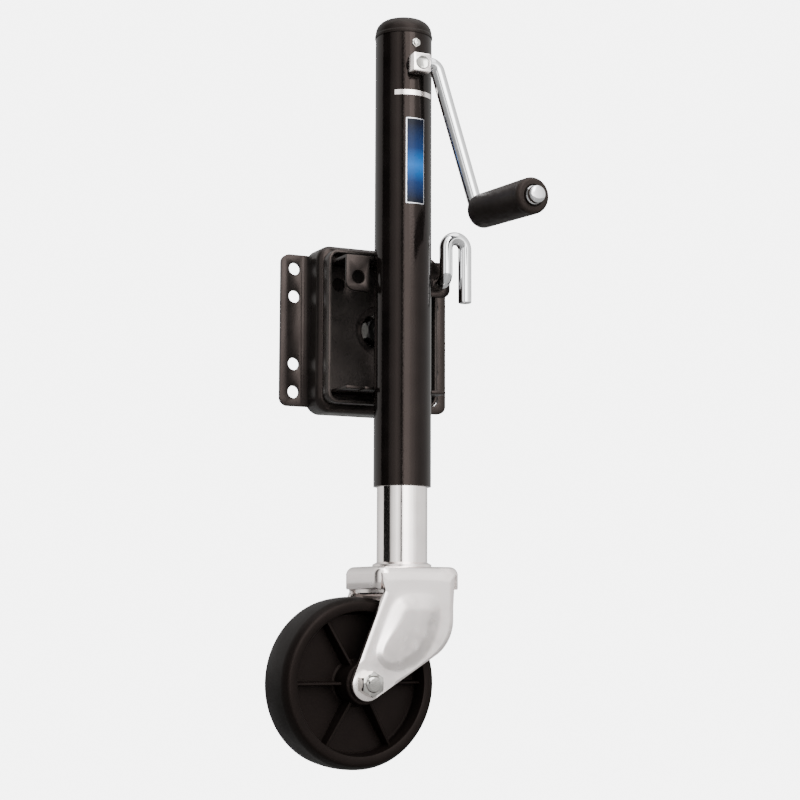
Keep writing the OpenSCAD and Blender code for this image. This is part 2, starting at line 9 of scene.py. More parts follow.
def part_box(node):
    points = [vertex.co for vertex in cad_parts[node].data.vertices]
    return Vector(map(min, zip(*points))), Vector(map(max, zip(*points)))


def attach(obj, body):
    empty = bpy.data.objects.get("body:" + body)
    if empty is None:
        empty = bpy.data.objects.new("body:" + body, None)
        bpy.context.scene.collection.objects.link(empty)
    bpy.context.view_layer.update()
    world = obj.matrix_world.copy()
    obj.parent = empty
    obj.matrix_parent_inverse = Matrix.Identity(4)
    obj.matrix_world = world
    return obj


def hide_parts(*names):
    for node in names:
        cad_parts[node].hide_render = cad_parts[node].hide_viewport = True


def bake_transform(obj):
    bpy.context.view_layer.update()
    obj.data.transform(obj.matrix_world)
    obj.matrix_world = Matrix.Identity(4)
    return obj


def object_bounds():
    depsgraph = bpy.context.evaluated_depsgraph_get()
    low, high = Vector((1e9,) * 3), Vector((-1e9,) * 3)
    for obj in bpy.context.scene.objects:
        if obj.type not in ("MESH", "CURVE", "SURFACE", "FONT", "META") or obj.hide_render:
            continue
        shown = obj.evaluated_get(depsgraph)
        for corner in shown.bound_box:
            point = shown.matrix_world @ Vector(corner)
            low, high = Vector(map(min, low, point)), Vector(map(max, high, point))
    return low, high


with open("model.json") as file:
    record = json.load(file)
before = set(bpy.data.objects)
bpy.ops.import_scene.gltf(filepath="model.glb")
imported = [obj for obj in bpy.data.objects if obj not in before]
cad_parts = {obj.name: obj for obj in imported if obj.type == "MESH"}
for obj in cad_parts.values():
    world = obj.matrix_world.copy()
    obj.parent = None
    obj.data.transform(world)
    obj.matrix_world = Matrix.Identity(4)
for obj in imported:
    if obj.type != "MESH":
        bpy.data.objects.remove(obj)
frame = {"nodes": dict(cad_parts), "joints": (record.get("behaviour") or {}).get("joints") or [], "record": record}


def as_lists(corners):
    return [[float(v) for v in corner] for corner in corners]


CAD_BOX = as_lists(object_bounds())
MM = 0.001
TAU = 2 * math.pi

# ---- places, read from the frame ----

JOINTS = {j["name"]: j for j in frame["joints"]}


def low_high(node):
    low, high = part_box(node)
    return Vector(low), Vector(high)


def middle(node):
    low, high = low_high(node)
    return (low + high) / 2


TUBE_LOW, TUBE_HIGH = low_high("outer_tube")
TUBE_R = (TUBE_HIGH.x - TUBE_LOW.x) / 2
FOOT = Vector(((TUBE_LOW.x + TUBE_HIGH.x) / 2, (TUBE_LOW.y + TUBE_HIGH.y) / 2, TUBE_LOW.z))
AXLE = Vector(JOINTS["wheel_roll"]["pos_m"])
AXLE_DIR = Vector(JOINTS["wheel_roll"]["axis"]).normalized()
CRANK = Vector(JOINTS["crank_turn"]["pos_m"])
GRIP = Vector(JOINTS["grip_spin"]["pos_m"])
UP = Vector((0, 0, 1))
OUTBOARD = Vector((0, -1, 0))


def tube_space(x, y, z):
    """A point given in millimetres from the tube's axis and foot."""
    return FOOT + Vector((x, y, z)) * MM


def axes_at(origin, z_axis, x_axis=None):
    """Matrix whose Z runs along z_axis, with its origin at origin."""
    z = Vector(z_axis).normalized()
    x = Vector(x_axis) if x_axis else (UP.cross(z) if abs(z.z) < 0.99 else Vector((1, 0, 0)))
    x = (x - z * x.dot(z)).normalized()
    y = z.cross(x)
    m = Matrix((x, y, z)).transposed().to_4x4()
    m.translation = origin
    return m


# The caster's own space: origin on the tube's axis at the foot, -X towards the axle, -Y outboard
CASTER = axes_at(FOOT, UP, -AXLE_DIR.cross(UP))
TUBE = Matrix.Translation(FOOT)
AXLE_SPACE = axes_at(AXLE, AXLE_DIR, -AXLE_DIR.cross(UP))
CRANK_SPACE = axes_at(tube_space(0, 0, (CRANK.z - FOOT.z) / MM), OUTBOARD)
# The crank arm turns a corner into the grip, JOINT_OUT millimetres before the grip's joint
JOINT_OUT = 50
GRIP_AXIS = -Vector(JOINTS["grip_spin"]["axis"]).normalized()
CORNER = GRIP - GRIP_AXIS * JOINT_OUT * MM
GRIP_SPACE = axes_at(CORNER, GRIP_AXIS)


# ---- sizes that several pieces share, in millimetres ----

ROD_R = 6.35        # crank arm
PIN_R = 6           # pull pin
LEG_Y = 33.0        # outside of the fork's legs, from the caster's middle plane


# ---- materials ----

class Shader:
    """A Principled material, with short names for the nodes that it is made from."""

    def __init__(self, name, colour, roughness, metallic=0.0, **sockets):
        self.material = bpy.data.materials.new(name)
        self.material.use_nodes = True
        self.tree = self.material.node_tree
        self.main = self.tree.nodes["Principled BSDF"]
        self.set(self.main, "Base Color", (*colour, 1.0))
        self.set(self.main, "Roughness", roughness)
        self.set(self.main, "Metallic", metallic)
        for socket, value in sockets.items():
            self.set(self.main, socket.replace("_", " "), value)
        self.place = self.tree.nodes.new("ShaderNodeTexCoord").outputs["Object"]

    @staticmethod
    def set(node, socket, value):
        node.inputs[socket].default_value = value

    def link(self, source, node, socket):
        self.tree.links.new(source, node.inputs[socket])

    def stretched(self, scale):
        """Object coordinates scaled by three factors."""
        node = self.tree.nodes.new("ShaderNodeMapping")
        self.set(node, "Scale", scale)
        self.link(self.place, node, "Vector")
        return node.outputs["Vector"]

    def noise(self, scale, detail=3.0, stretch=(1, 1, 1), rough=0.5):
        node = self.tree.nodes.new("ShaderNodeTexNoise")
        self.set(node, "Scale", scale)
        self.set(node, "Detail", detail)
        self.set(node, "Roughness", rough)
        self.link(self.stretched(stretch), node, "Vector")
        return node.outputs["Fac"]

    def ramp(self, source, stops):
        """Colour ramp; stops are (position, (r, g, b))."""
        node = self.tree.nodes.new("ShaderNodeValToRGB")
        elements = node.color_ramp.elements
        while len(elements) < len(stops):
            elements.new(0.5)
        for element, (position, colour) in zip(elements, stops):
            element.position = position
            element.color = (*colour, 1.0)
        self.link(source, node, "Fac")
        return node.outputs["Color"]

    def spread(self, source, low, high, start=0.3, end=0.7):
        """Maps the middle of a noise onto a range of values."""
        node = self.tree.nodes.new("ShaderNodeMapRange")
        self.set(node, "From Min", start)
        self.set(node, "From Max", end)
        self.set(node, "To Min", low)
        self.set(node, "To Max", high)
        self.link(source, node, "Value")
        return node.outputs["Result"]

    def bump(self, source, distance, strength=1.0, under=None):
        node = self.tree.nodes.new("ShaderNodeBump")
        self.set(node, "Strength", strength)
        self.set(node, "Distance", distance)
        self.link(source, node, "Height")
        if under:
            self.link(under, node, "Normal")
        return node.outputs["Normal"]

    def finish(self, colour=None, roughness=None, normal=None):
        for source, socket in ((colour, "Base Color"), (roughness, "Roughness"), (normal, "Normal")):
            if source:
                self.link(source, self.main, socket)
        return self.material


WARM = (1.0, 0.80, 0.74, 1.0)      # tint of the gloss on black paint and plastic


def shades(colour, *factors):
    return [tuple(min(1.0, c * f) for c in colour) for f in factors]


def powder_coat(name, colour, roughness, shine):
    """Powder coat: orange peel, slight gloss changes, a trace of dust in the colour."""
    s = Shader(name, colour, roughness, Specular_IOR_Level=shine, Specular_Tint=WARM)
    dark, light = shades(colour, 0.8, 1.5)
    tone = s.ramp(s.noise(45, 5), [(0.35, dark), (0.7, light)])
    peel = s.bump(s.noise(650, 2), 0.00006)
    fine = s.bump(s.noise(2600, 2), 0.000012, under=peel)
    return s.finish(tone, s.spread(s.noise(70, 4), roughness - 0.04, roughness + 0.06), fine)


def zinc(name, colour, roughness, grain=(1, 1, 1), bump=0.00002):
    """Bright zinc plate over rolled or pressed steel: cloudy tint and a faint grain."""
    s = Shader(name, colour, roughness, metallic=1.0)
    dull, base, bright = shades(colour, 0.93, 1.0, 1.04)
    tone = s.ramp(s.noise(60, 6), [(0.3, dull), (0.5, base), (0.75, bright)])
    gloss = s.spread(s.noise(120, 5, grain), roughness - 0.03, roughness + 0.05)
    return s.finish(tone, gloss, s.bump(s.noise(900, 3, grain), bump))


def chrome(name):
    """Chrome plate over a drawn rod, with the lightest of waves and wipe marks."""
    s = Shader(name, (0.80, 0.80, 0.81), 0.06, metallic=1.0)
    gloss = s.spread(s.noise(90, 6), 0.035, 0.13)
    return s.finish(None, gloss, s.bump(s.noise(260, 2), 0.000012))


def steel(name, colour, roughness):
    """Turned steel with fine tool marks."""
    s = Shader(name, colour, roughness, metallic=1.0)
    dull, bright = shades(colour, 0.75, 1.12)
    tone = s.ramp(s.noise(150, 5), [(0.3, dull), (0.7, bright)])
    gloss = s.spread(s.noise(300, 4), roughness - 0.08, roughness + 0.12)
    return s.finish(tone, gloss, s.bump(s.noise(2200, 2), 0.000012))


def plastic(name, colour, roughness, grain, depth):
    """Moulded plastic with a spark-eroded grain and paler scuffs."""
    s = Shader(name, colour, roughness, Specular_IOR_Level=0.11, Specular_Tint=WARM)
    dark, light = shades(colour, 0.8, 1.35)
    tone = s.ramp(s.noise(55, 6, rough=0.65), [(0.3, dark), (0.72, light)])
    gloss = s.spread(s.noise(35, 5), roughness - 0.06, roughness + 0.08)
    coarse = s.bump(s.noise(grain, 3), depth)
    return s.finish(tone, gloss, s.bump(s.noise(grain * 3.2, 2), depth / 3, under=coarse))


def label_print(name, low, high):
    """Printed label: navy ends that brighten to a clear blue in the middle, under a gloss film."""
    s = Shader(name, (0.02, 0.10, 0.35), 0.3, Specular_IOR_Level=0.1)
    split = s.tree.nodes.new("ShaderNodeSeparateXYZ")
    s.link(s.place, split, "Vector")
    navy, blue, bright = (0.002, 0.004, 0.012), (0.004, 0.022, 0.09), (0.006, 0.11, 0.38)
    along = s.spread(split.outputs["Z"], 0.0, 1.0, low, high)
    tone = s.ramp(along, [(0.04, navy), (0.25, blue), (0.45, bright), (0.65, blue), (0.94, navy)])
    return s.finish(tone, s.spread(s.noise(400, 3), 0.26, 0.34), s.bump(s.noise(1500, 2), 0.000004))


LABEL_LOW, LABEL_HIGH = low_high("label")
MATERIALS = {
    "black_powder": powder_coat("black_powder_coat", (0.0040, 0.0032, 0.0030), 0.08, 0.19),
    "black_bracket": powder_coat("black_bracket_coat", (0.0085, 0.0072, 0.0068), 0.30, 0.24),
    "cap_plastic": plastic("cap_plastic", (0.0090, 0.0074, 0.0068), 0.36, 900, 0.00004),
    "zinc_plate": zinc("zinc_plate", (0.97, 0.895, 0.87), 0.24),
    "zinc_tube": zinc("zinc_tube", (0.91, 0.845, 0.82), 0.09, grain=(1, 1, 0.06)),
    # Zinc for nuts, bolts and fittings, with its base colour darkened well below the plate's: painted shade,
    # standing in for the dark reflections and crevice shade on these small parts
    "zinc_hardware": zinc("zinc_hardware", (0.52, 0.505, 0.48), 0.10),
    "chrome": chrome("chrome_plate"),
    "dark_steel": steel("oiled_dark_steel", (0.035, 0.034, 0.034), 0.38),
    "machined_steel": steel("machined_steel", (0.52, 0.52, 0.53), 0.30),
    "bronze": steel("sintered_bronze", (0.60, 0.40, 0.20), 0.38),
    "grip_plastic": plastic("grip_plastic", (0.0150, 0.0120, 0.0108), 0.42, 1400, 0.00005),
    "wheel_plastic": plastic("wheel_plastic", (0.0026, 0.0018, 0.0016), 0.46, 1100, 0.00006),
    "label": label_print("label_print", LABEL_LOW.z, LABEL_HIGH.z),
    # The brackets' black powder coat with a lighter base colour for the swivel tray: painted light, standing in
    # for the soft light that the tray's hollow catches
    "tray_painted_light": powder_coat("tray_coat_with_painted_light", (0.020, 0.0175, 0.0165), 0.28, 0.26),
    "label_border": zinc("label_silver", (0.62, 0.63, 0.68), 0.30),
}


# ---- mesh tools ----

def piece(name, verts, faces, slot, body, stands_for=(), material=None, matrix=None, sharp=35):
    """A new mesh piece: placed, shaded, given its finish and its body."""
    mesh = bpy.data.meshes.new(name)
    points = [matrix @ Vector(v) for v in verts] if matrix else verts
    mesh.from_pydata([tuple(p) for p in points], [], faces)
    bm = bmesh.new()
    bm.from_mesh(mesh)
    bmesh.ops.remove_doubles(bm, verts=bm.verts, dist=0.000002)
    bmesh.ops.recalc_face_normals(bm, faces=bm.faces)
    bm.to_mesh(mesh)
    bm.free()
    mesh.polygons.foreach_set("use_smooth", [True] * len(mesh.polygons))
    mesh.set_sharp_from_angle(angle=math.radians(sharp))
    mesh.materials.append(material or MATERIALS[slot])
    obj = bpy.data.objects.new(name, mesh)
    bpy.context.collection.objects.link(obj)
    if body:
        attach(obj, body)
    if stands_for:
        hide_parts(*stands_for)
    return obj


def join_parts(*parts):
    """Joins several (verts, faces) pairs into one."""
    verts, faces = [], []
    for more_verts, more_faces in parts:
        start = len(verts)
        verts += [tuple(v) for v in more_verts]
        faces += [tuple(i + start for i in f) for f in more_faces]
    return verts, faces


def moved(part, matrix):
    verts, faces = part
    return [tuple(matrix @ Vector(v)) for v in verts], faces


def around(r, a, z):
    """Point at radius r, angle a and height z about Z; millimetres in, metres out."""
    return r * MM * math.cos(a), r * MM * math.sin(a), z * MM


def grid_faces(rows, columns):
    """Quads between rows of points that run round a piece."""
    return [(r * columns + c, r * columns + (c + 1) % columns,
             (r + 1) * columns + (c + 1) % columns, (r + 1) * columns + c)
            for r in range(rows - 1) for c in range(columns)]


def closed_faces(rows, columns):
    """The same, with a face over the first row and one over the last."""
    last = (rows - 1) * columns
    return grid_faces(rows, columns) + [tuple(range(columns))[::-1], tuple(range(last, last + columns))]


def lathe(profile, segments=96):
    """Solid of revolution about Z from a profile of (radius, height) in millimetres. A profile that
    starts and ends off the axis is closed into a ring."""
    ring = profile[0][0] > 1e-6
    rows = profile + [profile[0]] if ring else profile
    verts = [around(r, TAU * k / segments, z) for r, z in rows for k in range(segments)]
    return verts, grid_faces(len(rows), segments)


def arc(cx, cy, r, start, end, steps=8):
    """Points of an arc from start to end, in degrees."""
    angles = [math.radians(start + (end - start) * k / steps) for k in range(steps + 1)]
    return [(cx + r * math.cos(a), cy + r * math.sin(a)) for a in angles]


def swept(path, radius, sides):
    """Round rod along points, with chamfered ends."""
    tangents = []
    for i in range(len(path)):
        a, b = path[max(i - 1, 0)], path[min(i + 1, len(path) - 1)]
        tangents.append((b - a).normalized())
    side = tangents[0].orthogonal().normalized()
    chamfer = radius * 0.12
    stations = [(path[0], tangents[0], radius - chamfer),
                (path[0] + tangents[0] * chamfer, tangents[0], radius),
                *[(p, t, radius) for p, t in zip(path[1:-1], tangents[1:-1])],
                (path[-1] - tangents[-1] * chamfer, tangents[-1], radius),
                (path[-1], tangents[-1], radius - chamfer)]
    verts = []
    for p, t, r in stations:
        side = (side - t * side.dot(t)).normalized()
        other = t.cross(side)
        for k in range(sides):
            a = TAU * k / sides
            verts.append(p + side * (r * math.cos(a)) + other * (r * math.sin(a)))
    return verts, closed_faces(len(stations), sides)


def bent_path(points, bends):
    """Points along a rod that is bent round at each inner point."""
    step, shortest = 1.2 * MM, 0.05 * MM
    path = [points[0]]
    for i in range(1, len(points) - 1):
        u = (points[i - 1] - points[i]).normalized()
        v = (points[i + 1] - points[i]).normalized()
        angle = u.angle(v)
        bend = bends[i - 1]
        cut = bend / math.tan(angle / 2)
        centre = points[i] + (u + v).normalized() * (bend / math.sin(angle / 2))
        x = (points[i] + u * cut - centre).normalized()
        z = v.cross(u).normalized()
        y = z.cross(x)
        turn = math.pi - angle
        count = max(6, int(bend * turn / step))
        for k in range(count + 1):
            a = turn * k / count
            path.append(centre + (x * math.cos(a) + y * math.sin(a)) * bend)
    path.append(points[-1])
    kept = [path[0]]
    for p in path[1:]:
        if (p - kept[-1]).length > shortest:
            kept.append(p)
    return kept


def round_edges(obj, width):
    """Rounds a piece's sharp edges, for good."""
    bpy.context.view_layer.objects.active = obj
    modifier = obj.modifiers.new("edges", "BEVEL")
    modifier.width = width
    modifier.segments = 2
    modifier.limit_method = "ANGLE"
    modifier.angle_limit = math.radians(35)
    modifier.use_clamp_overlap = True
    modifier.harden_normals = False
    bpy.ops.object.modifier_apply(modifier=modifier.name)
    obj.data.set_sharp_from_angle(angle=math.radians(50))


def rounded_outline(w, h, r, steps=6):
    """Outline of a rounded rectangle, counter-clockwise from the right."""
    points = []
    for cx, cy, start in ((w / 2 - r, h / 2 - r, 0), (-w / 2 + r, h / 2 - r, 90),
                          (-w / 2 + r, -h / 2 + r, 180), (w / 2 - r, -h / 2 + r, 270)):
        points += arc(cx, cy, r, start, start + 90, steps)
    return points


def stack(outline, levels):
    """Solid from an outline about the origin in levels of (height, inset), closed at both ends."""
    verts = []
    for z, inset in levels:
        for x, y in outline:
            r = math.hypot(x, y)
            k = (r - inset) / r
            verts.append((x * k * MM, y * k * MM, z * MM))
    return verts, closed_faces(len(levels), len(outline))


def hexagon(flats, z0, z1, chamfer=(True, True), bore=0.0, segments=96):
    """Hexagon head or nut, flats wide, whose corners are turned off at the chosen ends."""
    half = flats / 2
    corner = half / math.cos(TAU / 12)
    slope = 0.5
    end_r = half * 0.97         # a chamfer starts just inside the flats
    depth = (corner - end_r) * slope
    shares = (0, 0.35, 0.7, 1)
    start, end = [(z0, corner)], [(z1, corner)]
    if chamfer[0]:
        start = [(z0 + depth * t, end_r + depth * t / slope) for t in shares]
    if chamfer[1]:
        end = [(z1 - depth * t, end_r + depth * t / slope) for t in shares[::-1]]
    rows = start + end
    if bore:
        mouth = bore + 0.8
        rows = [(z0, mouth), *rows, (z1, mouth), (z1 - 0.8, bore), (z0 + 0.8, bore), (z0, mouth)]
    verts = []
    for z, limit in rows:
        for k in range(segments):
            a = TAU * k / segments
            flat = half / math.cos((a + TAU / 12) % (TAU / 6) - TAU / 12)
            verts.append(around(min(flat, limit), a, z))
    faces = grid_faces if bore else closed_faces
    return verts, faces(len(rows), segments)


# ---- tube, cap, fitting and label ----

def add_top_cap():
    top = (TUBE_HIGH.z - FOOT.z) / MM
    spigot = TUBE_R / MM - 3.3      # the part that is pushed into the tube
    profile = [(0, top - 4), (spigot, top - 4), (spigot, top - 0.1), (25.9, top + 0.05), (26, top + 0.4),
               (26, top + 2.4), (25.85, top + 2.9), (25.5, top + 3.1), (25.4, top + 3.4),
               *arc(13.4, top + 4.3, 12, 0, 72, 12), (8, top + 15.9), (0, top + 16.1)]
    piece("top_cap_shell", *lathe(profile), "cap_plastic", "jack", ["top_cap"], matrix=TUBE, sharp=50)


def add_grease_nipple():
    low, high = low_high("grease_fitting")
    front = (FOOT.y - low.y) / MM
    z = ((low.z + high.z) / 2 - FOOT.z) / MM
    place = axes_at(tube_space(0, 0, z), OUTBOARD)
    nipple = lathe([(0, front - 1.6), (2.3, front - 1.6), (1.9, front - 1.15), (2.45, front - 0.85),
                    (2.6, front - 0.5), (2.2, front - 0.15), (0.9, front), (0.5, front - 0.2),
                    (0, front - 0.25)], 40)
    flats = hexagon(7.2, front - 3.4, front - 1.4, (False, True), segments=48)
    piece("grease_nipple", *join_parts(flats, nipple), "zinc_hardware", "jack", ["grease_fitting"],
          matrix=place, sharp=30)


def curved_patch(half_w, half_h, corner, r, thick):
    """Thin closed sheet, a rounded rectangle wrapped on the front of a tube of radius r."""
    columns, rows = 28, 30
    verts = []
    for i in range(columns + 1):
        x = -half_w * math.cos(math.pi * i / columns)
        over = max(0.0, abs(x) - (half_w - corner))
        reach_z = half_h - (corner - math.sqrt(max(0.0, corner * corner - over * over)))
        front = [(r + thick, -reach_z + 2 * reach_z * j / rows) for j in range(rows + 1)]
        back = [(r, z) for _, z in reversed(front)]
        a = x / r
        for depth, z in front + back:
            verts.append((depth * MM * math.sin(a), -depth * MM * math.cos(a), z * MM))
    return verts, closed_faces(columns + 1, 2 * rows + 2)


def add_label():
    half_h = (LABEL_HIGH.z - LABEL_LOW.z) / 2 / MM
    place = Matrix.Translation(Vector((FOOT.x, FOOT.y, middle("label").z)))
    r = TUBE_R / MM
    piece("label_panel", *curved_patch(9, half_h, 0.8, r + 0.02, 0.16), "label", "jack", ["label"],
          material=MATERIALS["label_border"], matrix=place)
    piece("label_print", *curved_patch(8.2, half_h - 0.8, 0.5, r + 0.12, 0.14), "label", "jack",
          matrix=place)


# ---- crank ----

# Along the grip's axis, from the arm's corner, in millimetres
GRIP_ENDS = (8, 99)
ROD_END = 104


def add_crank():
    hub_low, hub_high = low_high("crank_hub")
    back, front = (FOOT.y - hub_high.y) / MM, (FOOT.y - hub_low.y) / MM
    width = (hub_high.x - hub_low.x) / MM
    levels = [(back, 0.8), (back + 0.7, 0), (front - 0.9, 0), (front - 0.25, 0.3), (front, 1.0)]
    block = stack(rounded_outline(width, width, 1.6), levels)
    peen = lathe([(0, front - 0.1), (6.4, front - 0.1), (6.3, front + 0.25), (5.6, front + 0.6),
                  (5.2, front + 0.35), (0, front + 0.3)], 64)
    piece("crank_hub_block", *block, "zinc_plate", "crank", ["crank_hub"], matrix=CRANK_SPACE, sharp=40)
    piece("crank_shaft_end", *peen, "zinc_hardware", "crank", matrix=CRANK_SPACE, sharp=40)
    z = (CRANK.z - FOOT.z) / MM
    rod_y, bend = -34, 8 * MM
    root = tube_space(width / 2 - 1, rod_y, z)
    elbow = tube_space(width / 2 + 7, rod_y, z)
    tip = CORNER + GRIP_AXIS * ROD_END * MM
    path = bent_path([root, elbow, CORNER, tip], [bend, bend])
    piece("crank_rod", *swept(path, ROD_R * MM, 48), "chrome", "crank", ["crank_arm"], sharp=40)


def add_grip():
    low, high = GRIP_ENDS
    bore = ROD_R + 0.15
    profile = [(bore, low), (13.2, low), *arc(13.7, low + 1.5, 1.5, -90, 0, 5), (15.3, low + 6),
               (15.6, high - 30), (15.75, high - 8), (15.6, high - 6.4), (15.75, high - 5.6),
               *arc(12.2, high - 3.5, 3.5, 0, 90, 8), (9.6, high), (9.2, high - 0.5), (8.9, high - 2.2),
               (bore, high - 2.4)]
    piece("grip_sleeve", *lathe(profile, 128), "grip_plastic", "grip", ["crank_grip"], matrix=GRIP_SPACE,
          sharp=40)
    cap = [(0, high + 0.2), (8.1, high + 0.2), (8.2, high + 0.6), (8.2, high + 1.6), (7.7, high + 2.1),
           (7.4, high + 2.6), (7.4, high + 5.6), *arc(5.4, high + 6.0, 2.0, 0, 75, 6), (3, high + 8.1),
           (0, high + 8.15)]
    piece("grip_end_cap", *lathe(cap, 96), "chrome", "crank", ["grip_cap"], matrix=GRIP_SPACE, sharp=50)


# ---- pull pin ----

def add_pull_pin():
    low, high = low_high("pull_pin")
    pin_x = low.x + PIN_R * MM
    hook_x = high.x - PIN_R * MM
    hook_y = FOOT.y - 7 * MM
    hook_top, hook_foot = high.z - PIN_R * MM, FOOT.z + 167 * MM
    pin_z = middle("pin_washer").z
    points = [Vector(at) for at in ((pin_x, high.y, pin_z), (pin_x, hook_y, pin_z),
                                    (pin_x, hook_y, hook_top), (hook_x, hook_y, hook_top),
                                    (hook_x, hook_y, hook_foot))]
    turn = (hook_x - pin_x) / 2 - 0.02 * MM
    path = bent_path(points, [8 * MM, turn, turn])
    piece("pull_pin_rod", *swept(path, PIN_R * MM, 48), "chrome", "pull_pin", ["pull_pin"], sharp=40)


def add_pin_spring():
    """Coil with closed ends, in the pin spring's place."""
    low, high = low_high("pin_spring")
    x, z = (low.x + high.x) / 2, (low.z + high.z) / 2
    turns, end_turns, per_turn, wire = 6.5, 0.8, 26, 0.9 * MM
    mean = (high.x - low.x) / 2 - wire
    start, end = low.y + wire, high.y - wire
    count = int(turns * per_turn)
    path = []
    for k in range(count + 1):
        turn = turns * k / count
        share = min(1.0, max(0.0, (turn - end_turns) / (turns - 2 * end_turns)))
        a = TAU * turn
        path.append(Vector((x + mean * math.cos(a), start + (end - start) * share,
                            z + mean * math.sin(a))))
    coil = piece("pin_coil", *swept(path, wire, 10), "machined_steel", None, ["pin_spring"], sharp=40)
    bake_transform(coil)


# ---- fork ----

# Outline of the pressed panel in the caster's space, as (x, z)
PANEL = [(-26, -101.5), (-34.7, -120), (-43.3, -140.8), (-42.5, -147.5), (-38.5, -153), (-32.6, -156.5),
         (-22.9, -158.4), (-6.3, -152.8), (7.5, -141.1), (14.5, -128.4), (18.4, -112), (17.8, -102),
         (13.4, -97), (5, -95), (-10, -95), (-20, -96.5)]


def leg_shape():
    """Side view of a fork leg, from its top right corner clockwise, in the caster's space."""
    shape = [(35, -76), (34, -87), (33, -104), *arc(-3, -115, 36, 0, -56, 14),
             *arc(-51, -169, 14.5, -56, -203, 24), (-34.5, -91), (-37, -84), (-38, -76)]
    return resampled(shape, 1.6)


def resampled(shape, step):
    """Closed polyline with extra points, so that no side is longer than step."""
    points = []
    for (ax, ay), (bx, by) in zip(shape, shape[1:] + shape[:1]):
        count = max(1, math.ceil(math.hypot(bx - ax, by - ay) / step))
        points += [(ax + (bx - ax) * k / count, ay + (by - ay) * k / count) for k in range(count)]
    return points


def reach(centre, direction, shape):
    """Distance from centre along direction to a closed polyline round it."""
    cx, cy = centre
    dx, dy = direction
    best = 0.0
    for (ax, ay), (bx, by) in zip(shape, shape[1:] + shape[:1]):
        ex, ey = bx - ax, by - ay
        cross = dx * ey - dy * ex
        if abs(cross) < 1e-9:
            continue
        t = ((ax - cx) * ey - (ay - cy) * ex) / cross
        s = ((ax - cx) * dy - (ay - cy) * dx) / cross
        if t > 0 and -1e-9 <= s <= 1 + 1e-9:
            best = max(best, t)
    return best


PANEL_MIDDLE = (-4.0, -118.0)
LEG_THICK = 4
# The pressing's slope: distance in from the panel's outline, and share of the full rise there
PRESS_SLOPE = [(-2.5, 0), (-1.0, 0.03), (0.4, 0.12), (2, 0.27), (4, 0.44), (6, 0.62), (8, 0.80),
               (9.4, 0.90), (10.6, 0.95), (12, 0.985), (15, 1)]


def press_rise(x, z):
    """Rise of the pressing's top at x, z from PANEL_MIDDLE: more towards the axle and upwards."""
    return 1.9 - 0.030 * x + 0.020 * z


def slope_width(ray):
    """Share of the pressing's full slope width along a ray: it narrows at the corner by the axle."""
    return 1 - 0.64 * max(0.0, -0.70 * ray[0] - 0.71 * ray[1]) ** 18


def leg_plate(side):
    """Fork leg with rounded edges and a raised, pressed panel; side is -1 outboard or 1.

    Its points lie on rays from a point in the panel, in rows: over the edge from the inner face
    to the outer, across the flat, and up the pressing's slope."""
    x0, z0 = PANEL_MIDDLE
    panel = resampled(PANEL, 3)
    rays, edge_r, panel_r = [], [], []
    for x, z in leg_shape():
        r = math.hypot(x - x0, z - z0)
        ray = ((x - x0) / r, (z - z0) / r)
        rays.append(ray)
        edge_r.append(r)
        panel_r.append(reach(PANEL_MIDDLE, ray, panel))
    n, near = len(rays), range(-5, 6)
    smooth = [sum(panel_r[(k + j) % n] for j in near) / len(near) for k in range(n)]
    inner, outer = LEG_Y - LEG_THICK, LEG_Y
    rows = [[(ray, r - inset, y) for ray, r in zip(rays, edge_r)]
            for inset, y in ((0.9, inner), (0.3, inner + 0.3), (0, inner + 0.9), (0, outer - 0.9),
                             (0.3, outer - 0.3), (0.9, outer))]
    for share in (0.35, 0.75):
        rows.append([(ray, (r - 0.9) * (1 - share) + (p + 2.5) * share, outer)
                     for ray, r, p in zip(rays, edge_r, smooth)])
    for inset, share in PRESS_SLOPE:
        row = []
        for ray, p in zip(rays, smooth):
            r = p - inset * slope_width(ray)
            row.append((ray, r, outer + share * press_rise(ray[0] * r, ray[1] * r)))
        rows.append(row)
    verts = [((x0 + ray[0] * r) * MM, side * y * MM, (z0 + ray[1] * r) * MM)
             for row in rows for ray, r, y in row]
    verts += [(x0 * MM, side * inner * MM, z0 * MM),
              (x0 * MM, side * (outer + press_rise(0, 0)) * MM, z0 * MM)]
    last = (len(rows) - 1) * n
    faces = grid_faces(len(rows), n)
    faces += [((k + 1) % n, k, len(verts) - 2) for k in range(n)]
    faces += [(last + k, last + (k + 1) % n, len(verts) - 1) for k in range(n)]
    return verts, faces


# The crown's outline: half its length, and the radius of its corners
CROWN_END, CROWN_CORNER = 41.5, 10.0


def crown_reach(a):
    """Distance from the caster's axis to the crown's outline, a rounded box, in direction a."""
    c, s = abs(math.cos(a)), abs(math.sin(a))
    x, y = CROWN_END - CROWN_CORNER, LEG_Y - CROWN_CORNER
    if s * CROWN_END <= c * y:
        return CROWN_END / c
    if c * LEG_Y <= s * x:
        return LEG_Y / s
    along = x * c + y * s
    return along + math.sqrt(along * along - x * x - y * y + CROWN_CORNER * CROWN_CORNER)


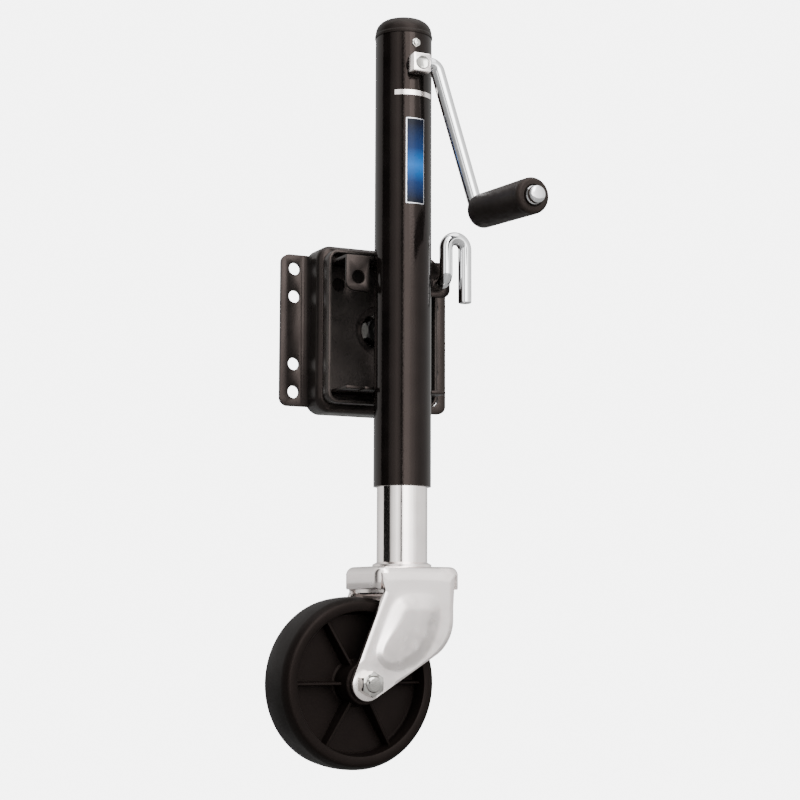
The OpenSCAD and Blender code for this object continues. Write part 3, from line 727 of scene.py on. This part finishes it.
def crown_shell():
    """Pressed crown: folded down at both ends and at the legs, with slits between the folds."""
    columns, top, edge, hole, thick = 288, -70.0, 7.0, 9.7, 4
    fold, slit = 12.5, 30.6     # how far the end folds hang down, and their half width
    low, under = top - edge, top - thick
    profiles = []
    for k in range(columns):
        a = TAU * k / columns
        s = abs(math.sin(a))
        r = crown_reach(a)
        # Along the legs a ray crosses the bent edge at a slant, so the edge is wider along it
        slant = min(1.2, 1 / s) if r * s >= LEG_Y - 0.5 else 1.0
        shoulder, bend_width = r - 16 * slant, edge * slant
        foot = low - (fold if s * r < slit else 0.0)
        profile = [(hole, top), (shoulder, top), (r - bend_width, top)]
        for t in (12, 26, 40, 54, 68, 80, 90):
            bend = math.radians(t)
            profile.append((r - bend_width * (1 - math.sin(bend)), low + edge * math.cos(bend)))
        drop = foot - low
        profile += [(r, low + drop * 0.5), (r, low + drop * 0.92), (r - 0.5, foot), (r - 3.4, foot),
                    (r - thick, low + drop * 0.92), (r - thick, low + drop * 0.4), (r - thick, low),
                    (r - 5.2, low + 2.1), (r - 8, under), (shoulder, under), (hole, under), (hole, top)]
        profiles.append([(p * math.cos(a), p * math.sin(a), z) for p, z in profile])
    verts = [tuple(v * MM for v in point) for row in zip(*profiles) for point in row]
    return verts, grid_faces(len(verts) // columns, columns)


def ball_track():
    """Lower race under the crown: a ring that is cut flat where it meets the legs."""
    columns, end_r, side_y = 288, 40.5, LEG_Y - LEG_THICK - 0.2
    section = [(10, -89), (0.7, -89), (0, -89.8), (0, -92.6), (0.9, -93.6), (3.5, -94), (6.5, -92.6),
               (10, -92), (10, -89)]
    verts = []
    for inset, z in section:
        for k in range(columns):
            a = TAU * k / columns
            verts.append(around(min(end_r, side_y / max(1e-6, abs(math.sin(a)))) - inset, a, z))
    return verts, grid_faces(len(section), columns)


def add_fork():
    piece("fork_crown", *crown_shell(), "zinc_plate", "caster", ["fork"], matrix=CASTER, sharp=40)
    piece("fork_ball_track", *ball_track(), "zinc_plate", "caster", matrix=CASTER, sharp=40)
    for name, side in (("outboard", -1), ("inboard", 1)):
        piece("fork_leg_" + name, *leg_plate(side), "zinc_plate", "caster", matrix=CASTER, sharp=40)


def add_axle():
    flats, shank_r, thread_length = 19, 6.35, 6
    nut = hexagon(flats, LEG_Y + 0.05, LEG_Y + 10, bore=6.3)
    piece("axle_hex_nut", *nut, "zinc_hardware", "caster", ["axle_nut"], matrix=AXLE_SPACE, sharp=30)
    z = LEG_Y + 6
    bolt = [(0, -LEG_Y - 3), (shank_r, -LEG_Y - 3), (shank_r, z)]
    for _ in range(thread_length):
        bolt += [(5.55, z + 0.5), (6.25, z + 1.0)]
        z += 1.0
    bolt += [(5.3, z + 0.6), (0, z + 0.7)]
    head = hexagon(flats, -LEG_Y - 7.5, -LEG_Y - 0.05, (True, False))
    piece("axle_screw", *join_parts(lathe(bolt, 48), head), "zinc_hardware", "caster", ["axle_bolt"],
          matrix=AXLE_SPACE, sharp=30)


# ---- wheel ----

def add_wheel():
    """Wheel: crowned tread, a web in its middle plane, a hub, and six ribs on each side."""
    r, w, rim = 72.97, 22.85, 60.5      # radius, half width, and the rim's inside
    half_tread, crowning, steps = 16.5, 0.9, 12
    tread = []
    for k in range(steps + 1):
        y = -half_tread + 2 * half_tread * k / steps
        tread.append((r - crowning * (y / half_tread) ** 2, y))
    side = [(r - 2.3, 19.2), (r - 2.9, 20.4), (r - 3.4, 21.3), (r - 4.1, 22.1), (r - 5.0, 22.6),
            (r - 6.2, w), (rim + 1.2, w), (rim + 0.3, w - 0.4), (rim - 0.2, w - 1.4), (rim - 1.4, 7.6),
            (rim - 2.6, 6.4), (20.5, 6.0), (18.8, 7.2), (18.2, 24), (17.6, 27.2), (16.8, 28), (9.2, 28),
            (8.5, 27.4)]
    body = lathe(tread + side + [(8.2, 0)] + [(x, -y) for x, y in reversed(side)], 160)
    rib = wheel_rib(17.6, rim - 0.9, 1.15, 2.0, w - 2.6, w - 6.5)
    ribs = [moved(rib, Matrix.Rotation(TAU * k / 6, 4, "Z")) for k in range(6)]
    piece("wheel_body", *join_parts(body, *ribs), "wheel_plastic", "wheel", ["wheel"], matrix=AXLE_SPACE,
          sharp=28)


def wheel_rib(x0, x1, t_top, t_base, h0, h1):
    """Rib along X, on both sides of the web: half thickness at top and base, height at both ends."""
    verts, faces = [], []
    for side in (-1, 1):
        start = len(verts)
        for x, h in ((x0, h0), ((x0 + x1) / 2, (h0 + h1) / 2), (x1, h1)):
            for y, z in ((-t_base, 5.0), (-t_top, h - 0.5), (-t_top + 0.5, h), (t_top - 0.5, h),
                         (t_top, h - 0.5), (t_base, 5.0)):
                verts.append((x * MM, y * MM, side * z * MM))
        faces += [tuple(start + i for i in f) for f in grid_faces(3, 6)]
        faces.append(tuple(range(start, start + 6)))
        faces.append(tuple(range(start + 17, start + 11, -1)))
    return verts, faces


# ---- brackets ----

def softened(node, name, width, finish, body):
    """Copy of a CAD solid with rounded edges, which stands for it."""
    mesh = frame["nodes"][node].data.copy()
    bm = bmesh.new()
    bm.from_mesh(mesh)
    bmesh.ops.remove_doubles(bm, verts=bm.verts, dist=0.000002)
    bmesh.ops.dissolve_limit(bm, angle_limit=math.radians(0.5), verts=bm.verts, edges=bm.edges)
    bm.to_mesh(mesh)
    bm.free()
    mesh.name = name
    mesh.materials.clear()
    mesh.materials.append(MATERIALS[finish])
    obj = bpy.data.objects.new(name, mesh)
    bpy.context.collection.objects.link(obj)
    mesh.polygons.foreach_set("use_smooth", [True] * len(mesh.polygons))
    mesh.set_sharp_from_angle(angle=math.radians(35))
    round_edges(obj, width)
    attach(obj, body)
    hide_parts(node)


def add_brackets():
    softened("frame_bracket", "frame_bracket_plate", 0.7 * MM, "black_bracket", "mount")
    # The swivel tray takes the lighter copy of the bracket coat, whose raised base colour is painted light
    softened("swivel_tray", "swivel_tray_plate", 0.6 * MM, "tray_painted_light", "jack")
    softened("pin_shelf", "pin_shelf_plate", 0.5 * MM, "black_bracket", "jack")
    softened("lower_shelf", "lower_shelf_plate", 0.5 * MM, "black_bracket", "jack")


def add_pivot():
    flats, shank_r = 24, 8
    low, high = low_high("pivot_bolt")
    centre = Vector(((low.x + high.x) / 2, 0, (low.z + high.z) / 2))
    place = axes_at(centre, OUTBOARD)
    front, back = -low.y / MM, -high.y / MM
    head = hexagon(flats, front - 8.3, front, (False, True))
    shank = lathe([(0, back), (shank_r - 0.8, back), (shank_r, back + 0.9), (shank_r, front - 8),
                   (0, front - 8)], 64)
    piece("pivot_screw", *join_parts(head, shank), "dark_steel", "mount", ["pivot_bolt"], matrix=place,
          sharp=30)
    low, high = low_high("pivot_nut")
    nut = hexagon(flats, -high.y / MM, -low.y / MM, bore=shank_r + 0.02)
    piece("pivot_hex_nut", *nut, "zinc_hardware", "mount", ["pivot_nut"], matrix=place, sharp=30)


# ---- camera, floor and light ----

EYE = tube_space(-688.9, -1423.6, -113.2)
LOOK = Vector((0.43128, 0.89429, 0.11936))
LOOK_RIGHT = Vector((0.90054, -0.43476, 0.00355))


def aim(eye, forward, right):
    """World matrix of a camera or lamp at eye that looks along forward."""
    f = forward.normalized()
    r = (right - f * right.dot(f)).normalized()
    u = r.cross(f)
    m = Matrix((r, u, -f)).transposed().to_4x4()
    m.translation = eye
    return m


def add_camera():
    data = bpy.data.cameras.new("camera")
    data.sensor_width = 36
    data.lens = 81.22
    data.clip_end = 50
    camera = bpy.data.objects.new("camera", data)
    bpy.context.collection.objects.link(camera)
    camera.matrix_world = aim(EYE, LOOK, LOOK_RIGHT)
    bpy.context.scene.camera = camera


FLOOR_GLOW = 5.6      # lifts the floor to the backdrop's white where the camera sees it


def add_floor():
    """Plain floor, just below the wheel when the leg is run right out."""
    low = CAD_BOX[0][2] + min(JOINTS["leg_lift"]["range_m"]) - 2 * MM
    far = 30.0
    mesh = bpy.data.meshes.new("floor")
    mesh.from_pydata([(-far, -far, low), (far, -far, low), (far, far, low), (-far, far, low)],
                     [], [(0, 1, 2, 3)])
    s = Shader("floor_paint", (0.22, 0.22, 0.22), 0.6, Emission_Color=(1, 1, 1, 1))
    glow = s.tree.nodes.new("ShaderNodeMath")
    glow.operation = "MULTIPLY"
    s.link(s.tree.nodes.new("ShaderNodeLightPath").outputs["Is Camera Ray"], glow, 0)
    s.set(glow, 1, FLOOR_GLOW)
    s.link(glow.outputs["Value"], s.main, "Emission Strength")
    mesh.materials.append(s.finish(s.ramp(s.noise(3, 2), [(0.3, (0.21,) * 3), (0.7, (0.23,) * 3)])))
    floor = bpy.data.objects.new("floor", mesh)
    bpy.context.collection.objects.link(floor)


def add_panel(name, eye, target, size, power):
    data = bpy.data.lights.new(name, "AREA")
    data.shape = "RECTANGLE"
    data.size, data.size_y = size
    data.energy = power
    lamp = bpy.data.objects.new(name, data)
    bpy.context.collection.objects.link(lamp)
    forward = target - eye
    lamp.matrix_world = aim(eye, forward, forward.cross(UP))


# The camera looks at the object from this compass bearing, in degrees from +X towards +Y
FRONT = math.degrees(math.atan2(-LOOK.y, -LOOK.x))
# The studio's brightness round the object: degrees from FRONT, positive to the picture's right, and
# level. Its lamps are the high levels and the dark gaps between them the low ones.
STUDIO = [(-170, 0.6), (-140, 0.9), (-110, 1.3), (-95, 1.3), (-91, 0.01), (-58, 0.01), (-52, 0.85),
          (-37, 1.6), (-21, 2.6), (-14, 1.9), (-7, 1.2), (-5.6, 0.01), (0.4, 0.01), (3, 4.5), (10, 7.0),
          (24, 6.5), (35, 4.4), (45, 3.4), (58, 2.1), (72, 1.45), (120, 1.25), (150, 0.8), (172, 0.6)]
BACKDROP = 6.0        # the white that the camera sees behind the object


def add_world():
    """STUDIO round the object, in light and reflections, and a plain white for the camera."""
    world = bpy.data.worlds.new("studio")
    bpy.context.scene.world = world
    world.use_nodes = True
    tree = world.node_tree
    place = tree.nodes.new("ShaderNodeTexCoord")
    split = tree.nodes.new("ShaderNodeSeparateXYZ")
    tree.links.new(place.outputs["Generated"], split.inputs["Vector"])
    bearing = tree.nodes.new("ShaderNodeMath")
    bearing.operation = "ARCTAN2"
    tree.links.new(split.outputs["Y"], bearing.inputs[0])
    tree.links.new(split.outputs["X"], bearing.inputs[1])
    share = tree.nodes.new("ShaderNodeMapRange")
    share.inputs["From Min"].default_value = -math.pi
    share.inputs["From Max"].default_value = math.pi
    tree.links.new(bearing.outputs["Value"], share.inputs["Value"])
    ramp = tree.nodes.new("ShaderNodeValToRGB")
    ramp.color_ramp.interpolation = "EASE"
    elements = ramp.color_ramp.elements
    stops = sorted(((FRONT + offset + 180) % 360, level) for offset, level in STUDIO)
    while len(elements) < len(stops):
        elements.new(0.5)
    for element, (degrees, level) in zip(elements, stops):
        element.position = degrees / 360
        element.color = (level, level, level * 0.99, 1)
    tree.links.new(share.outputs["Result"], ramp.inputs["Fac"])
    seen = tree.nodes.new("ShaderNodeLightPath")
    mix = tree.nodes.new("ShaderNodeMix")
    mix.data_type = "RGBA"
    mix.inputs["B"].default_value = (BACKDROP, BACKDROP, BACKDROP, 1)
    mix.clamp_result = False
    tree.links.new(seen.outputs["Is Camera Ray"], mix.inputs["Factor"])
    tree.links.new(ramp.outputs["Color"], mix.inputs["A"])
    tree.links.new(mix.outputs["Result"], tree.nodes["Background"].inputs["Color"])
    tree.nodes["Background"].inputs["Strength"].default_value = 1.0


add_camera()
add_floor()
add_world()
JACK_MIDDLE = tube_space(0, 0, 120)
add_panel("key", tube_space(300, -1700, 1250), JACK_MIDDLE, (0.7, 1.4), 14)
add_panel("top", tube_space(0, -300, 1500), JACK_MIDDLE, (1.6, 1.6), 16)


# ---- pieces ----

add_top_cap()
add_grease_nipple()
add_label()
add_crank()
add_grip()
add_pull_pin()
add_pin_spring()
add_fork()
add_axle()
add_wheel()
add_brackets()
add_pivot()


# ---- carried-over nodes ----

# Nodes whose look is not that of their slot
FINER = {"inner_tube": "zinc_tube", "shaft_bushing_front": "cap_plastic",
         "shaft_bushing_rear": "cap_plastic"}
for part in frame["record"]["subparts"]:
    name = FINER.get(part["node"], part["material_slot"])
    mesh = frame["nodes"][part["node"]].data
    for index in range(len(mesh.materials)):
        mesh.materials[index] = MATERIALS[name]
